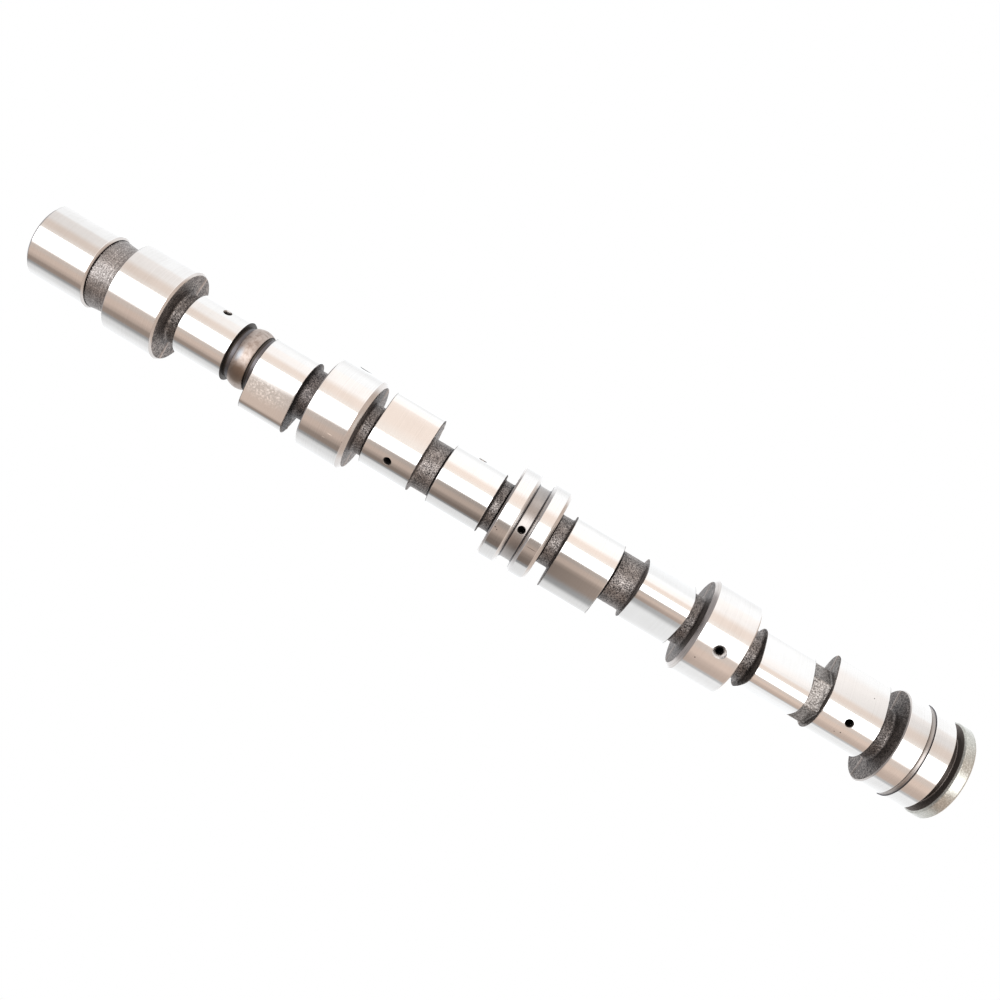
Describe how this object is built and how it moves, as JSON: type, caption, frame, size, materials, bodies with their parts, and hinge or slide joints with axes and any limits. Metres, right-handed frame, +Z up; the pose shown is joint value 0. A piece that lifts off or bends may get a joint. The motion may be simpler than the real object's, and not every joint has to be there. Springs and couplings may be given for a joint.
{
  "type": "camshaft",
  "caption": "Overhead camshaft for an inline engine, with stepped bearing journals, paired intake and exhaust lobes and cast necks.",
  "frame": {"origin": "centre of the rear face, which the shaft stands on", "axes": "+Z up the shaft's axis to the nose; +X towards one side of the casting's parting line"},
  "size_m": [0.0404, 0.0404, 0.4115],
  "materials": {
    "ground_iron": "ground and polished chilled iron",
    "cast_skin": "as-cast skin, rough and dark"
  },
  "bodies": {
    "root": {"camshaft": "ground_iron"}
  },
  "joints": []
}
